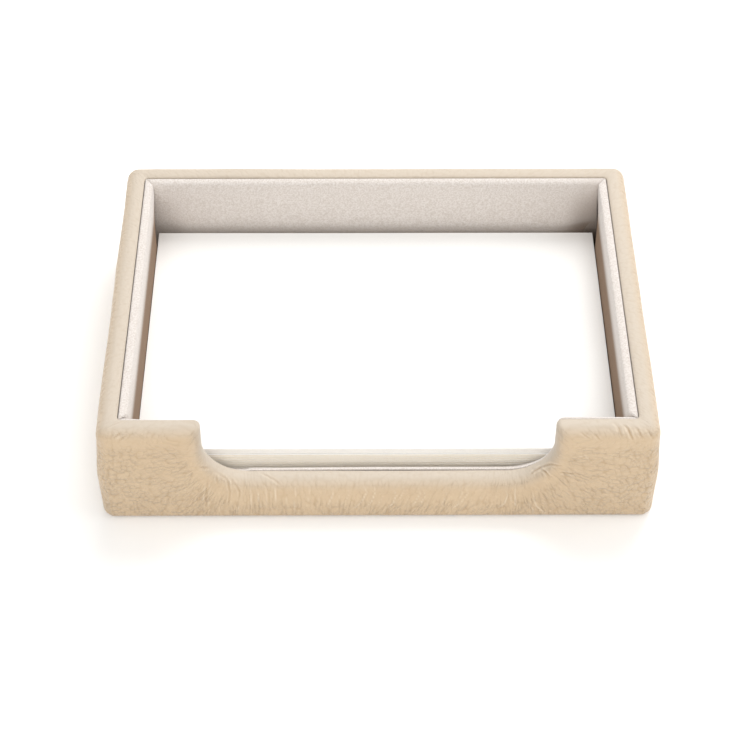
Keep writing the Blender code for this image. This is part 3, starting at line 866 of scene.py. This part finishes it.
SOFT_COLUMNS = np.zeros(len(LEATHER_SECTION))
SOFT_COLUMNS[WELL_ROWS : FACE_FOOT_ROW + 1] = 1
SOFT_COLUMNS[WELL_ROWS : WELL_ROWS + FADE_ROWS] = np.arange(FADE_ROWS) / FADE_ROWS
SOFT_COLUMNS[FACE_FOOT_ROW + 1 - FADE_ROWS : FACE_FOOT_ROW + 1] = np.arange(FADE_ROWS)[::-1] / FADE_ROWS
FOLDS = np.zeros(BASE.shape[:2])
for path, width, depth in (*CREASES, *FINE_FOLDS):
    add_crease(FOLDS, path, FINENESS * width * MM, FINENESS * depth * MM)
RELIEF = SOFT_COLUMNS * (waves(BASE, *SLOW_WAVE) + waves(BASE, *QUICK_WAVE) + FOLDS)
# Fold shares for the colour: pressed folds get painted shade, raised folds a paler colour.
FOLD_SHARE = np.clip(FOLDS / RIDGE - FAINT, 0, 0.7) - np.clip(-FOLDS / VALLEY - FAINT, 0, 0.8)
print("relief:", round(RELIEF.min() / MM, 2), "to", round(RELIEF.max() / MM, 2), "mm")

# %% The leather as one closed piece
FLESH_STRIDE = 8  # the hidden flesh side takes one row of the section in so many
RIM_ROWS = 14  # above the face, over which the rim grows smooth and pale
DRAWN_ROWS, DRAWN_GROWTH = 12, 8  # drawn wrinkles start so many rows above the face and grow over so many
DRAWN_FROM, DRAWN_FADE = 0.5 * MM, 5 * MM  # drawn wrinkles fade out below the roll


def with_hide(mesh, hide, **shares):
    """Gives the mesh the hide's places as UV coordinates in metres, and shares from 0 to 1 for each point."""
    corners = np.zeros(len(mesh.loops), dtype=np.int32)
    mesh.loops.foreach_get("vertex_index", corners)
    places = hide.reshape(-1, 2)[corners].reshape(-1, 4, 2)
    across_seam = places[:, :, 0].max(axis=1) - places[:, :, 0].min(axis=1) > AROUND / 2
    places[:, :, 0] += AROUND * (across_seam[:, None] & (places[:, :, 0] < 0))
    layer = mesh.uv_layers.new(name="hide")
    layer.data.foreach_set("uv", places.astype(np.float32).ravel())
    for name, values in shares.items():
        attribute = mesh.attributes.new(name, "FLOAT", "POINT")
        attribute.data.foreach_set("value", values.astype(np.float32).ravel())


row = np.arange(len(LEATHER_SECTION))
# The rim share also paints the rim paler, for its sheen.
rim_columns = ease((FACE_TOP_ROW - 1 - row) / RIM_ROWS)
drawn_columns = ease((row - FACE_TOP_ROW + DRAWN_ROWS) / DRAWN_GROWTH)
below_roll = np.linalg.norm(BASE - BASE[:, FACE_TOP_ROW, None], axis=2)
below_roll[:, :FACE_TOP_ROW] = 0
drawn = drawn_columns * (1 - ease((below_roll - DRAWN_FROM) / DRAWN_FADE))
columns = np.concatenate([row, row[::-FLESH_STRIDE]])
outer = BASE + NORMALS * RELIEF[:, :, None]
flesh = (BASE - NORMALS * LEATHER)[:, ::-FLESH_STRIDE]
mesh = mesh_from_loops("leather", np.concatenate([outer, flesh], axis=1), True)
rim = np.repeat(rim_columns[None, columns], len(BASE), axis=0)
with_hide(mesh, HIDE[:, columns], rim=rim, drawn=drawn[:, columns], fold=FOLD_SHARE[:, columns])
leather = add_piece("leather", mesh, PEBBLED_LEATHER, "leather_cover")
print("leather:", len(mesh.polygons), "faces")

# %% [markdown]
# ## Foam
# Thin foam is glued to the outer face of each wall board and folded over its top edge. It can't be seen, and
# it is what makes the leather bulge, so its face follows the leather's at one depth.

# %% Foam under the leather
BOARD_FACE = HALF_WIDTH - abs(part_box("front_wall_board")[0].y)
BOARD_BACK = HALF_WIDTH - abs(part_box("front_wall_board")[1].y)
BOARD_DROP = WALL_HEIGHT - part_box("front_wall_board")[1].z
FOAM_FACE = LEATHER + GAP
FOAM_ROLL_ROWS, FOAM_FACE_ROWS = 16, 22
FOAM_STEP, FOAM_NOTCH = 3 * MM, (30, 6)  # steps along a wall, and over the notch's corner and shoulder


def foam_section():
    inside, drop = BOARD_FACE - GAP, BOARD_DROP - GAP
    back = np.array([(inside, 0, FACE_FOOT, 1), (inside, drop, 0, 0), (BOARD_BACK, drop, 0, 0)])
    front = [roll_section(FOAM_FACE, FOAM_ROLL_ROWS), face_section(FOAM_FACE, FOAM_FACE_ROWS)]
    return np.concatenate([*front, back])


def wall_places(wall, inset, notch_steps):
    """The places along one wall, from one end to the other."""
    across, outwards = wall in ("front", "back"), 1 if wall in ("back", "right") else -1
    ends = [WallEnd(across, outwards, towards, inset) for towards in (-1, 1)]
    return [ends[0], *notch_places(1, *notch_steps), ends[1]] if wall == "front" else ends


for wall in ("front", "back", "left", "right"):
    inset = CORNER_RADIUS if wall in ("front", "back") else BOARD_BACK + GAP
    sections = [place.points(foam_section()) for place in wall_places(wall, inset, FOAM_NOTCH)]
    mesh = mesh_from_loops(wall + "_foam", tucked(filled(sections, FOAM_STEP)), False)
    add_piece(wall + "_foam", mesh, FOAM, wall + "_outer_foam")
print("foam on four walls, last one:", len(mesh.polygons), "faces")

# %% [markdown]
# ## Suede lining
# Each panel is suede stretched over a card with thin padding. It is fullest a little below its top edge and
# lies flat at the foot, and its ends meet the next panel in a mitre, with thinner padding in the two corners
# at the back. A short cloth simulation lets the padding push the suede out between its glued edges, which
# gives the slight slack that a drawn panel lacks.

# %% A cloth simulation for a padded panel
CLOTH_SCALE = 40  # the solver is made for garments, so a panel is simulated enlarged
CLOTH_FRAMES = 20
SLACK_SHARE = 0.001  # how much longer the suede is cut than the panel


def settled(loops, free, pressure, limit):
    """The points after a simulation in which padding pushes the free ones out, by less than a limit."""
    piece = bpy.data.objects.new("cloth", mesh_from_loops("cloth", loops * CLOTH_SCALE, False))
    bpy.context.scene.collection.objects.link(piece)
    held = np.nonzero(~np.broadcast_to(free, loops.shape[:2]).ravel())[0]
    piece.vertex_groups.new(name="glued").add(held.tolist(), 1.0, "REPLACE")
    cloth = piece.modifiers.new("cloth", "CLOTH")
    cloth.settings.vertex_group_mass = "glued"
    cloth.settings.use_pressure = True
    cloth.settings.uniform_pressure_force = pressure
    cloth.settings.shrink_min = -SLACK_SHARE
    cloth.settings.effector_weights.gravity = 0
    cloth.point_cache.frame_end = CLOTH_FRAMES
    for number in range(1, CLOTH_FRAMES + 1):
        bpy.context.scene.frame_set(number)
    evaluated = piece.evaluated_get(bpy.context.evaluated_depsgraph_get()).data
    moved = np.zeros(3 * len(evaluated.vertices))
    evaluated.vertices.foreach_get("co", moved)
    bpy.data.objects.remove(piece)
    bpy.context.scene.frame_set(1)
    shift = moved.reshape(loops.shape) / CLOTH_SCALE - loops
    length = np.linalg.norm(shift, axis=2, keepdims=True)
    print("cloth moved up to", round(length.max() / MM, 2), "mm, mean", round(length.mean() / MM, 3), "mm")
    return loops + shift * limit / (limit + length)


# %% The section of a lining panel
FULLEST_SHARE, FALLING_SHARE, FLAT_SHARE, TOP_SHARE = 0.2, 0.38, 0.8, 0.1
HEEL_FALL = 0.2  # how far the padding has thinned where the sheets lie against it
PAD_LIP = 0.8 * MM  # suede folded over the card's top edge
PAD_PRESSURE, PAD_LIMIT = 0.4, 0.3 * MM  # of the padding in the simulation, and the furthest that it pushes
FACE_STEPS, EDGE_STEPS = 26, 6
THIN_SHARE = 0.6  # of a panel's height, below which a corner takes all that it can of the padding
CARD_FACE = RIM + GAP
PAD_BACK = HALF_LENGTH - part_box("right_lining_card")[0].x + GAP
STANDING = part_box("right_lining_pad")[0].z


def fullness(share):
    """How full the padding is down the panel, as a share of its swell."""
    rising = TOP_SHARE + (1 - TOP_SHARE) * np.sin(pi / 2 * np.minimum(share / FULLEST_SHARE, 1)) ** 0.6
    falling = 1 - HEEL_FALL * ease((share - FALLING_SHARE) / (FLAT_SHARE - FALLING_SHARE))
    return np.where(share < FULLEST_SHARE, rising, falling)


def pad_section(drop, flat, swell, rounding, thinned):
    """A closed section: over the rounded top edge, down the face, then up behind it."""
    share = np.linspace(0, 1, FACE_STEPS + 1) ** 1.25  # rows lie closer together near the top
    depth = RIM + flat + swell * fullness(share) - thinned * np.minimum(share / THIN_SHARE, 1)
    face = np.stack([depth, 0 * share + drop + rounding, 0 * share + STANDING, share], axis=1)
    angle = pi / 2 * np.arange(EDGE_STEPS) / EDGE_STEPS
    edge_depth = CARD_FACE + (depth[0] - CARD_FACE) * np.sin(angle)
    edge = np.stack([edge_depth, drop + rounding * (1 - np.cos(angle)), 0 * angle, 0 * angle], axis=1)
    under_lip = drop + PAD_LIP
    back = np.array([(PAD_BACK, 0, STANDING, 1), (PAD_BACK, under_lip, 0, 0), (CARD_FACE, under_lip, 0, 0)])
    return np.concatenate([edge, face, back])


print("behind a lining panel:", round((PAD_BACK - CARD_FACE) / MM, 1), "mm for its card")

# %% Places along a lining panel
THINNED = {-1: 1.4 * MM, 1: 2.2 * MM}  # how much padding the left and the right corner at the back take
THIN_FROM, THIN_WITHIN, THIN_STEPS = 11 * MM, 10 * MM, 6  # it comes back from here on along the panel
PAD_STEP, PAD_NOTCH = 1.5 * MM, (24, 6)  # steps along a panel, and over the notch's corner and shoulder


def pad_places(wall):
    """The places along a panel, each with how much thinner the padding is there for a corner at the back."""
    places = wall_places(wall, None, PAD_NOTCH)
    if wall == "front":
        return [(place, 0.0) for place in places]
    runs = []
    for end in places:
        corner = end.towards if wall == "back" else end.outwards
        most = THINNED[corner] if wall == "back" or end.towards > 0 else 0.0
        run = [(end, most)]
        for step in range(1, THIN_STEPS + 1):
            inset = THIN_FROM + THIN_WITHIN * step / THIN_STEPS
            place = WallEnd(end.across, end.outwards, end.towards, inset)
            run.append((place, most * (1 - ease(step / THIN_STEPS))))
        runs.append(run)
    return runs[0] + runs[1][::-1]


# The front panel's edge: places along the wall, and its drop there below the leather's edge, in millimetres.
EDGE_PLACES = (-80, -60, -54, -45, -38, -33, -17, 7, 30, 44, 50, 54.5, 57, 80)
EDGE_DROPS = (1, 2.1, 2.9, 2.3, 0, 0, 0.35, 0.2, 0, 0.6, 1.1, 0.7, 1, 1)


def front_drop(place):
    x = place.top(0.0)[0] if isinstance(place, Notch) else place.towards * HALF_LENGTH
    return np.interp(x / MM, EDGE_PLACES, EDGE_DROPS) * MM


print("places:", {wall: len(pad_places(wall)) for wall in ("front", "back", "left", "right")})

# %% The four lining panels
# The back panel's right end is painted browner, for the shade that the right wall casts there.
END_FROM, END_WITHIN = 60 * MM, 17 * MM  # along the back panel, its browner right end


def suede_shade_share(wall, x, share):
    """How much shade is painted into the suede's colour as brown, at places along a panel and shares of the
    way down.
    """
    if wall == "back":
        right_end_shade = ease((x - END_FROM) / END_WITHIN) * (0.22 + 0.18 * ease(share / 0.5))
        return ease((share - 0.52) / 0.1) / 4 + right_end_shade
    upper, lower = ease((share + 0.02) / 0.4), ease((share - 0.5) / 0.22)
    return upper - 0.55 * lower + 0 * x


def lining_pad(wall, drop, flat, swell, rounding):
    corners = []
    for place, thinned in pad_places(wall):
        fall = front_drop(place) if drop is None else drop
        section = pad_section(fall, flat, swell, rounding, thinned)
        corners.append(place.points(section))
    rows = filled(corners, PAD_STEP)
    free = np.zeros(rows.shape[:2], dtype=bool)  # all but the ends, the folded edge and the foot
    free[2:-2, EDGE_STEPS + 1 : EDGE_STEPS + FACE_STEPS - 1] = True
    mesh = mesh_from_loops(wall + "_suede", settled(rows, free, PAD_PRESSURE, PAD_LIMIT), False)
    # The foot share holds painted shade: how far the suede is painted brown there.
    if wall != "front":
        foot = suede_shade_share(wall, rows[..., 0], section[:, 3]).ravel().astype(np.float32)
        mesh.attributes.new("foot", "FLOAT", "POINT").data.foreach_set("value", foot)
    add_piece(wall + "_suede", mesh, SUEDE, wall + "_lining_pad")


LINING_DROP = WALL_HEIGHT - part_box("back_lining_pad")[1].z
PANELS = (  # wall, drop of the top edge, thickness at the foot, swell, height of the rounded edge
    ("front", None, 1.5 * MM, 2.1 * MM, 1.1 * MM),
    ("back", LINING_DROP, 2.5 * MM, 0.5 * MM, 1.6 * MM),
    ("left", LINING_DROP, 2.8 * MM, 0.6 * MM, 0.7 * MM),
    ("right", LINING_DROP, 2.8 * MM, 0.5 * MM, 0.7 * MM),
)
for panel in PANELS:
    lining_pad(*panel)
print("lining panels ready")

# %% [markdown]
# The floor of the well is one more padded panel, and a thin suede panel under the tray hides the turned-in
# edge of the leather. Both are drawn as rings inwards from a rounded outline.

# %% Floor panel and bottom panel
OUTLINE_POINTS = 192
EDGE_LOOPS = 8
PANEL_CORNER, INNER_CORNER = 1.2 * MM, 0.3 * MM  # radius of the outline's corners, and of the rings within
DOME_WITHIN = 12 * MM  # from the edge, where the floor's padding has risen to its full height
FLOOR_DOME = 0.15 * MM
FLOOR_PRESSURE, FLOOR_LIMIT = 0.08, 0.12 * MM


def outline(half_x, half_y, radius):
    """Points round a rounded rectangle, evenly spread over its sides and corners."""
    angle = np.linspace(0, 2 * pi, OUTLINE_POINTS, endpoint=False)
    way = np.stack([np.cos(angle), np.sin(angle)], axis=1)
    way /= np.abs(way).max(axis=1, keepdims=True)
    spots = way * (half_x, half_y)
    inner = np.array([half_x - radius, half_y - radius])
    beyond = spots - np.clip(spots, -inner, inner)
    length = np.linalg.norm(beyond, axis=1, keepdims=True)
    return np.clip(spots, -inner, inner) + beyond * radius / np.maximum(length, 1e-9)


def ringed(half_x, half_y, low, high, edge, rings, dome):
    """Closed loops from the underside out round the edge and in over the top, which rises by a dome."""
    middle, rise = (low + high) / 2, (high - low) / 2
    levels = []  # inset, corner radius and height of each loop
    for angle in pi * np.arange(EDGE_LOOPS + 1) / EDGE_LOOPS - pi / 2:
        levels.append((edge * (1 - cos(angle)), PANEL_CORNER, middle + rise * sin(angle)))
    for ring in range(1, rings):
        inset = edge + (half_y - edge) * ring / rings
        levels.append((inset, INNER_CORNER, high + dome * ease(inset / DOME_WITHIN)))
    loops = []
    for inset, radius, height in levels:
        spots = outline(half_x - inset, half_y - inset, radius)
        loops.append(np.column_stack([spots, 0 * spots[:, :1] + height]))
    return np.array(loops)


low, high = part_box("floor_lining_pad")
loops = ringed(high.x, high.y, low.z, high.z - FLOOR_DOME, edge=0.8 * MM, rings=24, dome=FLOOR_DOME)
free = np.zeros(loops.shape[:2], dtype=bool)  # all but the edge and the middle
free[EDGE_LOOPS + 2 : -1] = True
mesh = mesh_from_loops("floor_suede", settled(loops, free, FLOOR_PRESSURE, FLOOR_LIMIT), False)
add_piece("floor_suede", mesh, SUEDE, "floor_lining_pad")

low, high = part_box("bottom_panel")
loops = ringed(high.x, high.y, low.z, high.z, edge=0.5 * MM, rings=6, dome=0.0)
mesh = mesh_from_loops("bottom_suede", loops, False)
add_piece("bottom_suede", mesh, SUEDE, "bottom_panel")
print("floor and bottom panels ready")

# %% [markdown]
# ## Memo sheets
# A hundred loose sheets lie in two bundles. Each is a real thin slab. Geometry nodes stack them: points up a
# line, each slipped and turned a little by a fixed seed, with neighbours slipping together as a hand leaves
# them, and one gentle wave bends them all alike, so that no sheet cuts another.

# %% Nodes that place and bend the sheets
NEIGHBOURS = 0.21  # how far the noise that sheets slip by moves on from one sheet to the next
OWN_SLIP = 0.35  # of a sheet alone, as a share of the slip
SHEET_POINTS = {"Vertices X": 13, "Vertices Y": 9, "Vertices Z": 2}
WAVE_LENGTH = 80 * MM


def slipped_line(tree, given):
    """Points up a line, one for each sheet, slipped together with their neighbours and each on its own."""
    step = add_node(tree, UPWARDS, {"Z": given["Pitch"]})
    upwards = {"Count": given["Count"], "Start Location": given["Start"], "Offset": step}
    line = add_node(tree, "GeometryNodeMeshLine", upwards)
    number = add_node(tree, "GeometryNodeInputIndex")
    seeded = add_node(tree, MATH, {0: number, 1: NEIGHBOURS, 2: given["Seed"]}, operation="MULTIPLY_ADD")
    together = add_node(tree, NOISE, {"W": seeded, "Scale": 1.0}, noise_dimensions="1D").outputs["Color"]
    centred = add_node(tree, VECTOR_MATH, {0: together, 1: (0.5, 0.5, 0.5)}, operation="SUBTRACT")
    limits = {0: (-OWN_SLIP, -OWN_SLIP, 0), 1: (OWN_SLIP, OWN_SLIP, 0), "Seed": given["Seed"]}
    own = add_node(tree, "FunctionNodeRandomValue", limits, data_type="FLOAT_VECTOR")
    both = add_node(tree, VECTOR_MATH, {0: centred, 1: (2, 2, 0), 2: own}, operation="MULTIPLY_ADD")
    slip = add_node(tree, VECTOR_MATH, {0: both, "Scale": given["Slip"]}, operation="SCALE")
    return add_node(tree, "GeometryNodeSetPosition", {"Geometry": line, "Offset": slip})


def bent_sheets(tree, given, points):
    """A slab turned a little on every point, and one gentle wave through all of them."""
    slab = add_node(tree, "GeometryNodeMeshCube", {"Size": given["Sheet"], **SHEET_POINTS})
    limits = {2: -1.0, 3: 1.0, "Seed": given["Seed"]}
    spin = add_node(tree, "FunctionNodeRandomValue", limits, data_type="FLOAT").outputs[1]
    turn = add_node(tree, MATH, {0: spin, 1: given["Turn"]}, operation="MULTIPLY")
    turned = {"Points": points, "Instance": slab, "Rotation": add_node(tree, UPWARDS, {"Z": turn})}
    stacked = add_node(tree, "GeometryNodeInstanceOnPoints", turned)
    real = add_node(tree, "GeometryNodeRealizeInstances", {0: stacked})
    place = add_node(tree, "GeometryNodeInputPosition")
    level = add_node(tree, VECTOR_MATH, {0: place, 1: (1, 1, 0)}, operation="MULTIPLY")
    ripple = add_node(tree, NOISE, {"Vector": level, "Scale": 1 / WAVE_LENGTH, "Detail": 0.0})
    lift = add_node(tree, MATH, {0: ripple, 1: given["Wave"]}, operation="MULTIPLY")
    lifted = add_node(tree, UPWARDS, {"Z": lift})
    return add_node(tree, "GeometryNodeSetPosition", {"Geometry": real, "Offset": lifted})


print("points of a sheet:", SHEET_POINTS)

# %% Node tree that stacks sheets
STACK_INPUTS = {
    "Int": ("Count", "Seed"),
    "Vector": ("Sheet", "Start"),
    "Float": ("Pitch", "Slip", "Turn", "Wave"),
    "Material": ("Paper", "Cut Edge"),
}


def stacking_tree():
    tree = bpy.data.node_groups.new("stacked_sheets", "GeometryNodeTree")
    tree.interface.new_socket("Geometry", in_out="OUTPUT", socket_type="NodeSocketGeometry")
    for kind, names in STACK_INPUTS.items():
        for name in names:
            tree.interface.new_socket(name, in_out="INPUT", socket_type="NodeSocket" + kind)
    given = add_node(tree, "NodeGroupInput").outputs
    sheets = bent_sheets(tree, given, slipped_line(tree, given))
    painted = add_node(tree, "GeometryNodeSetMaterial", {"Geometry": sheets, "Material": given["Paper"]})
    facing = add_node(tree, "ShaderNodeSeparateXYZ", {0: add_node(tree, "GeometryNodeInputNormal")})
    upright = add_node(tree, MATH, {0: facing.outputs["Z"], 1: 0.0, 2: 0.5}, operation="COMPARE")
    cut = {"Geometry": painted, "Selection": upright, "Material": given["Cut Edge"]}
    edged = add_node(tree, "GeometryNodeSetMaterial", cut)
    add_node(tree, "NodeGroupOutput", {"Geometry": edged})
    return tree


STACKING = stacking_tree()
print("nodes in the stacking tree:", len(STACKING.nodes))

# %% The two bundles of sheets
SHEET_PITCH = 0.1 * MM
SHEET_THICKNESS = 0.094 * MM
SHEET_TURN = radians(0.06)
SHEET_WAVE = 0.2 * MM


def bundle(name, node, edge, slip, seed, below, above):
    """Stacks a bundle in place of its solid, a little taller where that closes the gap to the other."""
    low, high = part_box(node)
    count = round((high.z - low.z + below + above) / SHEET_PITCH)
    middle = (low + high) / 2
    values = {
        "Count": count,
        "Sheet": (high.x - low.x, high.y - low.y, SHEET_THICKNESS),
        "Pitch": SHEET_PITCH,
        "Start": (middle.x, middle.y, low.z - below + SHEET_PITCH / 2),
        "Slip": slip,
        "Turn": SHEET_TURN,
        "Wave": SHEET_WAVE,
        "Seed": seed,
        "Paper": PAPER,
        "Cut Edge": edge,
    }
    holder = bpy.data.objects.new("holder", bpy.data.meshes.new("holder"))
    bpy.context.scene.collection.objects.link(holder)
    modifier = holder.modifiers.new("stack", "NODES")
    modifier.node_group = STACKING
    for socket in STACKING.interface.items_tree:
        if socket.in_out == "INPUT":
            modifier[socket.identifier] = values[socket.name]
    bpy.context.view_layer.update()
    depsgraph = bpy.context.evaluated_depsgraph_get()
    mesh = bpy.data.meshes.new_from_object(holder.evaluated_get(depsgraph))
    bpy.data.objects.remove(holder)
    add_piece(name, mesh, None, node)
    print(name + ":", count, "sheets,", len(mesh.polygons), "faces")


bundle("lower_sheets_loose", "lower_memo_sheets", CUT_EDGE_PAINTED_REFLECTION, slip=0.12 * MM, seed=3, below=0, above=0.1 * MM)
bundle("upper_sheets_loose", "upper_memo_sheets", CUT_WHITE, slip=0.08 * MM, seed=8, below=0.1 * MM, above=0)

# %% [markdown]
# ## Boards and cards
# The wall boards, the base and the cards are flat plates with plain edges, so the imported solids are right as
# they are. They only get their own materials.

# %% Boards and cards take their materials
for name, node in frame["nodes"].items():
    if name.endswith(("board", "card")):
        node.data.materials.clear()
        node.data.materials.append(BOARD if name.endswith("board") else CARD)
        print(name, "is", node.data.materials[0].name)
